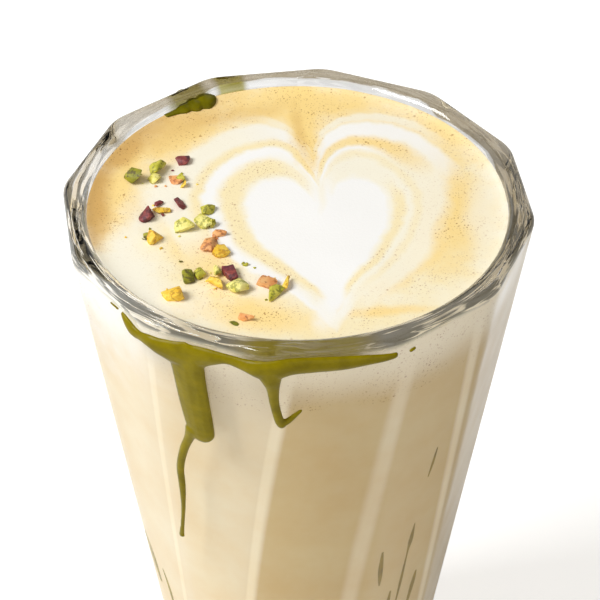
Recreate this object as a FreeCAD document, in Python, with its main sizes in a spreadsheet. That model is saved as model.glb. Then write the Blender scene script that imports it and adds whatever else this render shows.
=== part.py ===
# Pistachio latte, served in its glass.
#
# A clear twelve-sided tumbler with soft creases, a round tapered bore and a melted, rounded rim,
# filled almost to the brim: milky coffee below, a layer of milk foam on top.
#
# Frame: millimetres, +Z up, origin at the middle of the base, front towards -Y.

import FreeCAD, Part
import math
import os

import Sketcher

FACETS = 12

# Driving sizes in millimetres and degrees: alias, value, meaning.
SIZES = [
    ("rim_width", 88.0, "across the flats at the rim"),
    ("base_width", 49.0, "across the flats at the base"),
    ("glass_height", 128.0, "base to rim"),
    ("facet_turn", 8.2, "turn of the facets about the axis"),
    ("crease_radius", 10.0, "rounding of the creases between facets"),
    ("rim_wall", 3.8, "wall at the rim, at the middle of a facet"),
    ("foot_wall", 4.4, "wall just above the floor, at the middle of a facet"),
    ("base_thickness", 9.0, "solid glass under the drink"),
    ("floor_round", 6.0, "rounding between the bore and its floor"),
    ("rim_round_outer", 1.6, "rounding of the rim's outer edge"),
    ("rim_round_inner", 1.5, "rounding of the rim's inner edge"),
    ("heel_round", 2.2, "rounding of the edge the glass stands on"),
    ("fill_gap", 2.3, "drink's surface below the rim"),
    ("foam_depth", 16.0, "thickness of the foam"),
    ("wall_clearance", 0.15, "between the drink and the bore"),
]

# The bore's radii follow from the outside and the two walls.
OUTSIDE_AT_FLOOR = (
    "(Sizes.base_width + (Sizes.rim_width - Sizes.base_width)"
    " * Sizes.base_thickness / Sizes.glass_height) / 2"
)
BORE_AT_FLOOR = f"({OUTSIDE_AT_FLOOR} - Sizes.foot_wall)"
BORE_AT_RIM = "(Sizes.rim_width / 2 - Sizes.rim_wall)"
TAPER = "atan((Sizes.rim_width - Sizes.base_width) / 2 / Sizes.glass_height)"

# Heights that the glass and the drink share.
FLOOR = "Sizes.base_thickness"
RIM = "Sizes.glass_height"
SURFACE = "(Sizes.glass_height - Sizes.fill_gap)"
FOAM_BOTTOM = f"({SURFACE} - Sizes.foam_depth)"


def bore_radius(height):
    """Expression for the bore's radius at a height, given as an expression."""
    share = f"({height} - {FLOOR}) / ({RIM} - {FLOOR})"
    return f"({BORE_AT_FLOOR} + ({BORE_AT_RIM} - {BORE_AT_FLOOR}) * {share})"


def drink_radius(height):
    """Expression for the drink's radius at a height: the bore less its clearance."""
    return f"({bore_radius(height)} - Sizes.wall_clearance)"


def make_sheet(doc):
    """Spreadsheet with one aliased cell for each driving size."""
    sheet = doc.addObject("Spreadsheet::Sheet", "Sizes")
    for row, (alias, value, meaning) in enumerate(SIZES, start=1):
        sheet.set(f"A{row}", alias)
        sheet.set(f"B{row}", str(value))
        sheet.set(f"C{row}", meaning)
        sheet.setAlias(f"B{row}", alias)
    doc.recompute()
    return sheet


def make_body(doc, label):
    """Empty body whose label is the sub-part's name."""
    body = doc.addObject("PartDesign::Body", label)
    body.Label = label
    body.Placement = FreeCAD.Placement()
    return body


def origin_plane(body, role):
    """The body's own origin plane or axis with the given role."""
    return next(item for item in body.Origin.OriginFeatures if item.Role == role)


def add_sketch(body, name, role):
    """Sketch attached to one of the body's origin planes."""
    sketch = body.newObject("Sketcher::SketchObject", name)
    sketch.AttachmentSupport = [(origin_plane(body, role), "")]
    sketch.MapMode = "FlatFace"
    return sketch


def add_polygon(sketch, width):
    """Regular polygon about the origin, `width` across its flats, one flat facing -Y."""
    corner_radius = f"{width} / 2 / cos({180 / FACETS} deg)"
    radius = sketch.evalExpression(corner_radius)
    corners = []
    for index in range(FACETS):
        angle = -math.pi / 2 + (2 * index - 1) * math.pi / FACETS
        corners.append(FreeCAD.Vector(radius * math.cos(angle), radius * math.sin(angle), 0))
    for index in range(FACETS):
        side = Part.LineSegment(corners[index], corners[(index + 1) % FACETS])
        sketch.addGeometry(side, False)
    circle = Part.Circle(FreeCAD.Vector(0, 0, 0), FreeCAD.Vector(0, 0, 1), radius)
    ring = sketch.addGeometry(circle, True)
    sketch.addConstraint(Sketcher.Constraint("Coincident", ring, 3, -1, 1))
    for index in range(FACETS):
        following = (index + 1) % FACETS
        sketch.addConstraint(Sketcher.Constraint("Coincident", index, 2, following, 1))
        sketch.addConstraint(Sketcher.Constraint("PointOnObject", index, 1, ring))
    for index in range(1, FACETS):
        sketch.addConstraint(Sketcher.Constraint("Equal", 0, index))
    sketch.addConstraint(Sketcher.Constraint("Horizontal", 0))
    sketch.addConstraint(Sketcher.Constraint("Radius", ring, radius))
    sketch.renameConstraint(sketch.ConstraintCount - 1, "corner_radius")
    sketch.setExpression("Constraints.corner_radius", corner_radius)


def add_turned_profile(sketch, bottom, top, radius_at):
    """Profile from the axis out to a tapered wall, between two heights.

    `radius_at` gives the expression for the wall's radius at a height.
    """
    low = sketch.evalExpression(bottom)
    high = sketch.evalExpression(top)
    low_radius = sketch.evalExpression(radius_at(bottom))
    high_radius = sketch.evalExpression(radius_at(top))
    corners = [
        FreeCAD.Vector(0, low, 0),
        FreeCAD.Vector(low_radius, low, 0),
        FreeCAD.Vector(high_radius, high, 0),
        FreeCAD.Vector(0, high, 0),
    ]
    for index, corner in enumerate(corners):
        sketch.addGeometry(Part.LineSegment(corner, corners[(index + 1) % 4]), False)
    for index in range(4):
        following = (index + 1) % 4
        sketch.addConstraint(Sketcher.Constraint("Coincident", index, 2, following, 1))
    sketch.addConstraint(Sketcher.Constraint("Horizontal", 0))
    sketch.addConstraint(Sketcher.Constraint("Horizontal", 2))
    sketch.addConstraint(Sketcher.Constraint("PointOnObject", 0, 1, -2))
    sketch.addConstraint(Sketcher.Constraint("PointOnObject", 3, 1, -2))
    driven = [
        ("bottom", "DistanceY", (-1, 1, 0, 1), low, bottom),
        ("top", "DistanceY", (-1, 1, 3, 1), high, top),
        ("bottom_radius", "DistanceX", (0, 1, 0, 2), low_radius, radius_at(bottom)),
        ("top_radius", "DistanceX", (3, 1, 1, 2), high_radius, radius_at(top)),
    ]
    for name, kind, points, value, expression in driven:
        sketch.addConstraint(Sketcher.Constraint(kind, *points, value))
        sketch.renameConstraint(sketch.ConstraintCount - 1, name)
        sketch.setExpression(f"Constraints.{name}", expression)


def edge_names(shape, wanted):
    """Names of the edges that `wanted` accepts."""
    return [f"Edge{index}" for index, edge in enumerate(shape.Edges, start=1) if wanted(edge)]


def lies_at(edge, height):
    """Whether the whole edge lies at one height."""
    box = edge.BoundBox
    return abs(box.ZMin - height) < 1e-4 and abs(box.ZMax - height) < 1e-4


def reach(edge):
    """Distance of the edge's middle from the axis."""
    middle = edge.valueAt((edge.FirstParameter + edge.LastParameter) / 2)
    return math.hypot(middle.x, middle.y)


def add_fillet(body, name, base, edges, radius):
    """Fillet of the named edges of `base`, with its radius driven by the sheet."""
    fillet = body.newObject("PartDesign::Fillet", name)
    fillet.Base = (base, edges)
    fillet.setExpression("Radius", radius)
    body.Document.recompute()
    return fillet


def make_glass(doc, sheet):
    """Faceted tumbler: outside drawn out on a taper, turned bore, every edge rounded."""
    body = make_body(doc, "glass")
    foot = add_sketch(body, "foot_outline", "XY_Plane")
    add_polygon(foot, "Sizes.base_width")
    outside = body.newObject("PartDesign::Pad", "outside")
    outside.Profile = foot
    outside.setExpression("Length", RIM)
    outside.setExpression("TaperAngle", TAPER)
    doc.recompute()

    height = sheet.glass_height
    creases = edge_names(outside.Shape, lambda edge: edge.BoundBox.ZLength > height / 2)
    creased = add_fillet(body, "creases", outside, creases, "Sizes.crease_radius")

    profile = add_sketch(body, "bore_profile", "XZ_Plane")
    add_turned_profile(profile, FLOOR, RIM, bore_radius)
    bore = body.newObject("PartDesign::Groove", "bore")
    bore.Profile = profile
    bore.ReferenceAxis = (profile, ["V_Axis"])
    bore.Angle = 360
    doc.recompute()
    if bore.Shape.Volume >= creased.Shape.Volume:
        raise RuntimeError("the bore removed no glass")

    floor_height = sheet.base_thickness
    floor_edge = edge_names(bore.Shape, lambda edge: lies_at(edge, floor_height))
    floored = add_fillet(body, "floor_rounding", bore, floor_edge, "Sizes.floor_round")

    bore_limit = sheet.rim_width / 2 - sheet.rim_wall / 2
    at_rim = edge_names(floored.Shape, lambda edge: lies_at(edge, height))
    inner = [name for name in at_rim if reach(floored.Shape.getElement(name)) < bore_limit]
    inner_rounded = add_fillet(body, "rim_inside", floored, inner, "Sizes.rim_round_inner")

    outer = edge_names(
        inner_rounded.Shape, lambda edge: lies_at(edge, height) and reach(edge) > bore_limit
    )
    outer_rounded = add_fillet(body, "rim_outside", inner_rounded, outer, "Sizes.rim_round_outer")

    heel = edge_names(outer_rounded.Shape, lambda edge: lies_at(edge, 0))
    add_fillet(body, "heel", outer_rounded, heel, "Sizes.heel_round")
    body.setExpression("Placement.Rotation.Angle", "Sizes.facet_turn")
    return body


def make_layer(doc, label, bottom, top):
    """One layer of the drink: a turned solid that fills the bore between two heights."""
    body = make_body(doc, label)
    profile = add_sketch(body, f"{label}_profile", "XZ_Plane")
    add_turned_profile(profile, bottom, top, drink_radius)
    turned = body.newObject("PartDesign::Revolution", f"{label}_turned")
    turned.Profile = profile
    turned.ReferenceAxis = (profile, ["V_Axis"])
    turned.Angle = 360
    doc.recompute()
    return body


def make_latte(doc, sheet):
    """Milky coffee, from the glass's floor up to the foam."""
    body = make_layer(doc, "latte", FLOOR, FOAM_BOTTOM)
    floor_height = sheet.base_thickness
    turned = body.Tip
    floor_edge = edge_names(turned.Shape, lambda edge: lies_at(edge, floor_height))
    add_fillet(body, "latte_floor_rounding", turned, floor_edge, "Sizes.floor_round")
    return body


def make_foam(doc):
    """Milk foam, a level layer up to the surface of the drink."""
    return make_layer(doc, "milk_foam", FOAM_BOTTOM, SURFACE)


def check_document(doc, bodies):
    """Raise unless every feature recomputed and every sub-part is one valid solid."""
    for item in doc.Objects:
        if "Invalid" in item.State or "Error" in item.State:
            raise RuntimeError(f"{item.Label} did not recompute: {item.State}")
    for body in bodies:
        shape = body.Shape
        if shape.isNull() or not shape.isValid() or len(shape.Solids) != 1:
            raise RuntimeError(f"{body.Label} is not one valid solid")


def main():
    """Build the document and write one STEP file for each sub-part."""
    doc = FreeCAD.newDocument("pistachio_latte")
    sheet = make_sheet(doc)
    bodies = [make_glass(doc, sheet), make_latte(doc, sheet), make_foam(doc)]
    doc.recompute()
    check_document(doc, bodies)
    os.makedirs("parts", exist_ok=True)
    for body in bodies:
        body.Shape.exportStep(f"parts/{body.Label}.step")
        box = body.Shape.optimalBoundingBox()
        print(f"{body.Label}: {body.Shape.Volume / 1000:.1f} cm3, z {box.ZMin:.2f} to {box.ZMax:.2f}")


main()
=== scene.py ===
"""Looks of a pistachio latte in a twelve-sided glass.

The glass, the drink, the foam pattern, the chopped nuts and the green sauce, with a plain pale
floor, soft light and a camera. Everything is in metres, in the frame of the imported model: +Z up,
origin at the middle of the glass's base, front towards -Y.
"""

from __future__ import annotations

import logging
import math
import random
from collections.abc import Callable, Iterable, Sequence
from dataclasses import dataclass, field
from enum import Enum

import bmesh
import bpy
from mathutils import Matrix, Vector, noise

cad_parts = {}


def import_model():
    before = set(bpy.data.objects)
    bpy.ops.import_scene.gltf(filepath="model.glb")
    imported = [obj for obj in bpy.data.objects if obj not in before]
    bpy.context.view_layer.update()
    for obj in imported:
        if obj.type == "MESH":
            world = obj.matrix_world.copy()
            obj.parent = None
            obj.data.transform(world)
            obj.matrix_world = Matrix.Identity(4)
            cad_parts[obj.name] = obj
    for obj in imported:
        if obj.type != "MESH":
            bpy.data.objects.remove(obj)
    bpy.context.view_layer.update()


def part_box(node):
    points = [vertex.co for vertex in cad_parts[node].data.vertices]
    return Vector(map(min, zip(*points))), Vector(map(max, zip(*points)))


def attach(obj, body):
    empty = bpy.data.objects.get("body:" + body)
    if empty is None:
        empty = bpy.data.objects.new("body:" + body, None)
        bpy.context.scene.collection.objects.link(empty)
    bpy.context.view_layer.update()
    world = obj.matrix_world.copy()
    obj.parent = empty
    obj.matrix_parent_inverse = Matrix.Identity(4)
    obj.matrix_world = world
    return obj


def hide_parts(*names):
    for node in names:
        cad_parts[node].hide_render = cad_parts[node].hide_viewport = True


LOG = logging.getLogger("latte")
MM = 0.001
WALL_REACH = 42.0
FRONT = -math.pi / 2
SHARP_ANGLE = math.radians(60)
DRINK_ROUGHNESS = 0.42
DRINK_SHEEN = 0.35

Colour = tuple[float, float, float]


def srgb(red: float, green: float, blue: float) -> Colour:
    """Turn a display colour into the linear one that shaders use.

    Args:
        red: Red, 0 to 255.
        green: Green, 0 to 255.
        blue: Blue, 0 to 255.

    Returns:
        The three linear values.
    """

    def linear(value: float) -> float:
        """Linear value of one channel."""
        share = value / 255
        return share / 12.92 if share <= 0.04045 else ((share + 0.055) / 1.055) ** 2.4

    return linear(red), linear(green), linear(blue)


# ---------------------------------------------------------------- node wiring


class Wires:
    """Short way to add and link the nodes of one material or group."""

    def __init__(self, tree: bpy.types.NodeTree) -> None:
        """Work in the given node tree."""
        self.tree = tree

    def node(self, kind: str, **settings: object) -> bpy.types.Node:
        """Add a node.

        Args:
            kind: Blender's name of the node type.
            settings: Properties to set on it.

        Returns:
            The new node.
        """
        made = self.tree.nodes.new(kind)
        for name, value in settings.items():
            setattr(made, name, value)
        return made

    def feed(self, socket: bpy.types.NodeSocket, value: object) -> None:
        """Link an output to a socket, or set the socket to a plain value.

        Args:
            socket: Socket to feed.
            value: Output to link, or the value to set.
        """
        if isinstance(value, bpy.types.NodeSocket):
            self.tree.links.new(value, socket)
        elif isinstance(value, tuple) and len(value) == 3 and socket.type == "RGBA":
            socket.default_value = (*value, 1.0)
        else:
            socket.default_value = value

    def math(self, operation: str, *values: object) -> bpy.types.NodeSocket:
        """Result of a Math node fed with the given values.

        Args:
            operation: Blender's name of the operation.
            values: Outputs or numbers, in the order of the node's inputs.

        Returns:
            The result output.
        """
        made = self.node("ShaderNodeMath", operation=operation)
        for socket, value in zip(made.inputs, values):
            self.feed(socket, value)
        return made.outputs[0]

    def ease(
        self, value: object, low: object, high: object, start: float = 0.0, end: float = 1.0
    ) -> bpy.types.NodeSocket:
        """Smooth step of a value from `start` at `low` to `end` at `high`.

        Args:
            value: The value that is eased.
            low: Value at which the step begins.
            high: Value at which the step ends.
            start: Result at `low`.
            end: Result at `high`.

        Returns:
            The result output.
        """
        made = self.node("ShaderNodeMapRange", interpolation_type="SMOOTHSTEP")
        for socket, given in zip(made.inputs, (value, low, high, start, end)):
            self.feed(socket, given)
        return made.outputs[0]

    def mix(self, share: object, first: object, second: object) -> bpy.types.NodeSocket:
        """Colour mixed from two by a share.

        Args:
            share: Share of the second colour.
            first: Colour at a share of 0.
            second: Colour at a share of 1.

        Returns:
            The colour output.
        """
        made = self.node("ShaderNodeMix", data_type="RGBA")
        self.feed(made.inputs["Factor"], share)
        self.feed(made.inputs[6], first)
        self.feed(made.inputs[7], second)
        return made.outputs[2]

    def noise(
        self, place: object, scale: float, detail: float = 2.0, rough: float = 0.5
    ) -> bpy.types.Node:
        """Noise texture node sampled at a place.

        Args:
            place: Where the noise is sampled.
            scale: Scale of the noise.
            detail: Number of finer layers.
            rough: How strong the finer layers are.

        Returns:
            The noise node.
        """
        made = self.node("ShaderNodeTexNoise")
        self.feed(made.inputs["Vector"], place)
        made.inputs["Scale"].default_value = scale
        made.inputs["Detail"].default_value = detail
        made.inputs["Roughness"].default_value = rough
        return made

    def position(self) -> bpy.types.NodeSocket:
        """Object position in millimetres.

        Returns:
            The vector output.
        """
        place = self.node("ShaderNodeTexCoord").outputs["Object"]
        scaled = self.node("ShaderNodeVectorMath", operation="SCALE")
        self.feed(scaled.inputs[0], place)
        scaled.inputs["Scale"].default_value = 1 / MM
        return scaled.outputs[0]

    def split(self, vector: bpy.types.NodeSocket) -> tuple[bpy.types.NodeSocket, ...]:
        """The x, y and z of a vector.

        Args:
            vector: The vector output.

        Returns:
            The three outputs.
        """
        made = self.node("ShaderNodeSeparateXYZ")
        self.feed(made.inputs[0], vector)
        return tuple(made.outputs)

    def join(self, *values: object) -> bpy.types.NodeSocket:
        """Vector of x, y and z.

        Args:
            values: The three parts, outputs or numbers.

        Returns:
            The vector output.
        """
        made = self.node("ShaderNodeCombineXYZ")
        for socket, value in zip(made.inputs, values):
            self.feed(socket, value)
        return made.outputs[0]

    def group(self, made: bpy.types.NodeTree, **inputs: object) -> bpy.types.Node:
        """Place a node group and feed its named inputs.

        Args:
            made: The node group.
            inputs: Values for its inputs, by name in lower case.

        Returns:
            The group's node.
        """
        placed = self.node("ShaderNodeGroup", node_tree=made)
        for name, value in inputs.items():
            self.feed(placed.inputs[name.replace("_", " ").capitalize()], value)
        return placed

    def bump(self, height: object, depth: float, strength: float = 1.0) -> bpy.types.NodeSocket:
        """Normal bent by a height map whose full range is `depth` metres.

        Args:
            height: Height map from 0 to 1.
            depth: Full height in metres.
            strength: Share of the bend that is used.

        Returns:
            The normal output.
        """
        made = self.node("ShaderNodeBump")
        made.inputs["Strength"].default_value = strength
        made.inputs["Distance"].default_value = depth
        self.feed(made.inputs["Height"], height)
        return made.outputs[0]


def new_material(name: str) -> tuple[bpy.types.Material, Wires, bpy.types.Node]:
    """Start a material.

    Args:
        name: Name of the material.

    Returns:
        The material, its wires and its Principled shader.
    """
    made = bpy.data.materials.new(name)
    made.use_nodes = True
    wires = Wires(made.node_tree)
    shader = made.node_tree.nodes["Principled BSDF"]
    return made, wires, shader


def new_group(name: str, inputs: dict[str, float], outputs: Sequence[str]) -> tuple[Wires, ...]:
    """Start a shader node group over the position in millimetres.

    Args:
        name: Name of the group.
        inputs: Named number inputs and their default values.
        outputs: Named number outputs.

    Returns:
        Wires of the group, its input node and its output node.
    """
    tree = bpy.data.node_groups.new(name, "ShaderNodeTree")
    tree.interface.new_socket("Place", in_out="INPUT", socket_type="NodeSocketVector")
    for label, value in inputs.items():
        socket = tree.interface.new_socket(label, in_out="INPUT", socket_type="NodeSocketFloat")
        socket.default_value = value
    for label in outputs:
        tree.interface.new_socket(label, in_out="OUTPUT", socket_type="NodeSocketFloat")
    wires = Wires(tree)
    return wires, wires.node("NodeGroupInput"), wires.node("NodeGroupOutput")


def mottle_group() -> bpy.types.NodeTree:
    """Soft uneven patches, used on the foam, in the drink, on the nuts and in the sauce.

    Returns:
        Group whose Mask runs from 0 to 1 in patches of the given size.
    """
    wires, given, result = new_group("soft_mottle", {"Size": 4.0, "Contrast": 2.0}, ("Mask",))
    place = wires.node("ShaderNodeVectorMath", operation="DIVIDE")
    wires.feed(place.inputs[0], given.outputs["Place"])
    size = wires.join(given.outputs["Size"], given.outputs["Size"], given.outputs["Size"])
    wires.feed(place.inputs[1], size)
    grain = wires.noise(place.outputs[0], 1.0, 4.0, 0.6).outputs["Fac"]
    centred = wires.math("SUBTRACT", grain, 0.5)
    spread = wires.math("MULTIPLY", centred, given.outputs["Contrast"])
    mask = wires.math("ADD", spread, 0.5)
    wires.tree.nodes[-1].use_clamp = True
    wires.feed(result.inputs["Mask"], mask)
    return wires.tree


def speckle_group() -> bpy.types.NodeTree:
    """Fine round specks of many sizes, used on the foam.

    Returns:
        Group whose Mask is 1 in the specks. Spacing and Radius are in millimetres, and Share is
        the part of the cells that holds a speck.
    """
    smallest, size_range, solid_share = 0.4, 0.8, 0.55
    inputs = {"Spacing": 1.0, "Radius": 0.2, "Share": 0.5}
    wires, given, result = new_group("fine_specks", inputs, ("Mask",))
    spacing = given.outputs["Spacing"]
    place = wires.node("ShaderNodeVectorMath", operation="DIVIDE")
    wires.feed(place.inputs[0], given.outputs["Place"])
    wires.feed(place.inputs[1], wires.join(spacing, spacing, spacing))
    cells = wires.node("ShaderNodeTexVoronoi", feature="F1")
    wires.feed(cells.inputs["Vector"], place.outputs[0])
    cells.inputs["Scale"].default_value = 1.0
    distance = wires.math("MULTIPLY", cells.outputs["Distance"], spacing)
    chance, size, _ = wires.split(cells.outputs["Color"])
    scale = wires.math("MULTIPLY_ADD", size, size_range, smallest)
    radius = wires.math("MULTIPLY", given.outputs["Radius"], scale)
    rim = wires.math("MULTIPLY", radius, solid_share)
    dot = wires.ease(distance, rim, radius, 1.0, 0.0)
    kept = wires.math("LESS_THAN", chance, given.outputs["Share"])
    wires.feed(result.inputs["Mask"], wires.math("MULTIPLY", dot, kept))
    return wires.tree


@dataclass(frozen=True)
class Effects:
    """Node groups that several finishes share."""

    mottle: bpy.types.NodeTree
    specks: bpy.types.NodeTree

    @classmethod
    def build(cls) -> Effects:
        """Build each group once."""
        return cls(mottle=mottle_group(), specks=speckle_group())


# ---------------------------------------------------------------- meshes


def make_object(
    name: str, points: Sequence[Vector], faces: Sequence[Sequence[int]], smooth: bool = True
) -> bpy.types.Object:
    """Make a mesh object at the origin.

    Args:
        name: Name of the object and its mesh.
        points: Corners, in metres.
        faces: Corner numbers of each face.
        smooth: Whether the faces are shaded smooth.

    Returns:
        The linked object.
    """
    mesh = bpy.data.meshes.new(name)
    mesh.from_pydata([tuple(point) for point in points], [], [tuple(face) for face in faces])
    mesh.update()
    if smooth:
        mesh.shade_smooth()
        mesh.set_sharp_from_angle(angle=SHARP_ANGLE)
    made = bpy.data.objects.new(name, mesh)
    bpy.context.scene.collection.objects.link(made)
    return made


def rings_to_object(name: str, rings: Sequence[Sequence[Vector]]) -> bpy.types.Object:
    """Join closed rings into a skin, closed with a fan at both ends.

    Args:
        name: Name of the object.
        rings: Rings of equally many points, from the first end to the last.

    Returns:
        The closed object.
    """
    count = len(rings[0])
    points = [point for ring in rings for point in ring]
    faces = []
    for level in range(len(rings) - 1):
        for index in range(count):
            following = (index + 1) % count
            low, high = level * count, (level + 1) * count
            faces.append((low + index, low + following, high + following, high + index))
    for ring, flip in ((0, True), (len(rings) - 1, False)):
        centre = sum((Vector(point) for point in rings[ring]), Vector()) / count
        points.append(centre)
        for index in range(count):
            pair = (ring * count + index, ring * count + (index + 1) % count)
            pair = pair[::-1] if flip else pair
            faces.append((*pair, len(points) - 1))
    return make_object(name, points, faces)


@dataclass(frozen=True)
class GlassForm:
    """Outside and bore of the glass, in metres and radians."""

    height: float
    rim_width: float = 0.088
    base_width: float = 0.049
    facets: int = 12
    turn: float = math.radians(8.2)
    crease_radius: float = 0.010
    rim_wall: float = 0.0038
    foot_wall: float = 0.0044
    base_thickness: float = 0.009
    floor_round: float = 0.006
    rim_round_outer: float = 0.0016
    rim_round_inner: float = 0.0015
    heel_round: float = 0.0022
    facet_shares: tuple[float, ...] = (0.0, 0.17, 0.34, 0.5, 0.62, 0.72, 0.8, 0.87, 0.94, 1.0)

    @property
    def half_facet(self) -> float:
        """Half of the angle that one facet takes."""
        return math.pi / self.facets

    def flat_radius(self, height: float) -> float:
        """Distance of a facet's middle from the axis at a height."""
        share = height / self.height
        return (self.base_width + (self.rim_width - self.base_width) * share) / 2

    def outside(self, angle: float, height: float, inset: float = 0.0) -> float:
        """Radius of the rounded polygon at an angle.

        Args:
            angle: Angle about +Z from +X.
            height: Height above the base.
            inset: How far the outline is moved inwards.

        Returns:
            Distance of the surface from the axis.
        """
        flat = self.flat_radius(height) - inset
        crease = self.crease_radius - inset
        step = 2 * self.half_facet
        from_normal = (angle - self.turn - FRONT) % step
        from_normal = min(from_normal, step - from_normal)
        middle = (flat - crease) / math.cos(self.half_facet)
        if math.tan(from_normal) * flat <= (flat - crease) * math.tan(self.half_facet):
            return flat / math.cos(from_normal)
        from_corner = self.half_facet - from_normal
        across = middle * math.sin(from_corner)
        return middle * math.cos(from_corner) + math.sqrt(crease**2 - across**2)

    def bore(self, height: float) -> float:
        """Radius of the bore's wall.

        Args:
            height: Height above the base.

        Returns:
            Distance of the wall from the axis.
        """
        low = self.flat_radius(self.base_thickness) - self.foot_wall
        high = self.rim_width / 2 - self.rim_wall
        share = (height - self.base_thickness) / (self.height - self.base_thickness)
        return low + (high - low) * share

    def angles(self) -> list[float]:
        """Angles round the glass, closer together in the creases.

        Returns:
            Angles about +Z from +X, once round.
        """
        one_side = [share * self.half_facet for share in self.facet_shares]
        around = []
        for facet in range(self.facets):
            middle = self.turn + FRONT + 2 * facet * self.half_facet
            around += [middle - offset for offset in one_side[-2:0:-1]]
            around += [middle + offset for offset in one_side]
        return around

    def on_outside(self, front_angle: float, depth: float, lift: float = 0.0) -> Vector:
        """Point on the outside.

        Args:
            front_angle: Angle from the front, positive towards +X.
            depth: Distance below the rim.
            lift: Distance out of the surface.

        Returns:
            The point.
        """
        angle = FRONT + front_angle
        height = self.height - depth
        reach = self.outside(angle, height) + lift
        return Vector((reach * math.cos(angle), reach * math.sin(angle), height))

    def on_bore(self, front_angle: float, depth: float, lift: float = 0.0) -> Vector:
        """Point on the bore's wall.

        Args:
            front_angle: Angle from the front, positive towards +X.
            depth: Distance below the rim.
            lift: Distance from the wall towards the axis.

        Returns:
            The point.
        """
        angle = FRONT + front_angle
        height = self.height - depth
        reach = self.bore(height) - lift
        return Vector((reach * math.cos(angle), reach * math.sin(angle), height))


# ---------------------------------------------------------------- glass


@dataclass(frozen=True)
class PaintedLightBand:
    """Painted light band in the wall's painted shade, where a rounded crease would focus light.

    Angles are from the front at the rim and at the base, in degrees, as is the half width.
    `painted_lit_side` is how much painted light is kept on the band's left.
    """

    high_angle: float
    low_angle: float
    half_width: float
    strength: float
    painted_lit_side: float = 0.0


@dataclass(frozen=True)
class PaintedSauceReflection:
    """Painted reflection of the green sauce in the rim.

    Angles are from the front in degrees. `inward` is how far it reaches in from the outer flat, in
    millimetres.
    """

    angle: float
    half_width: float
    inward: float
    colour: Colour


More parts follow.
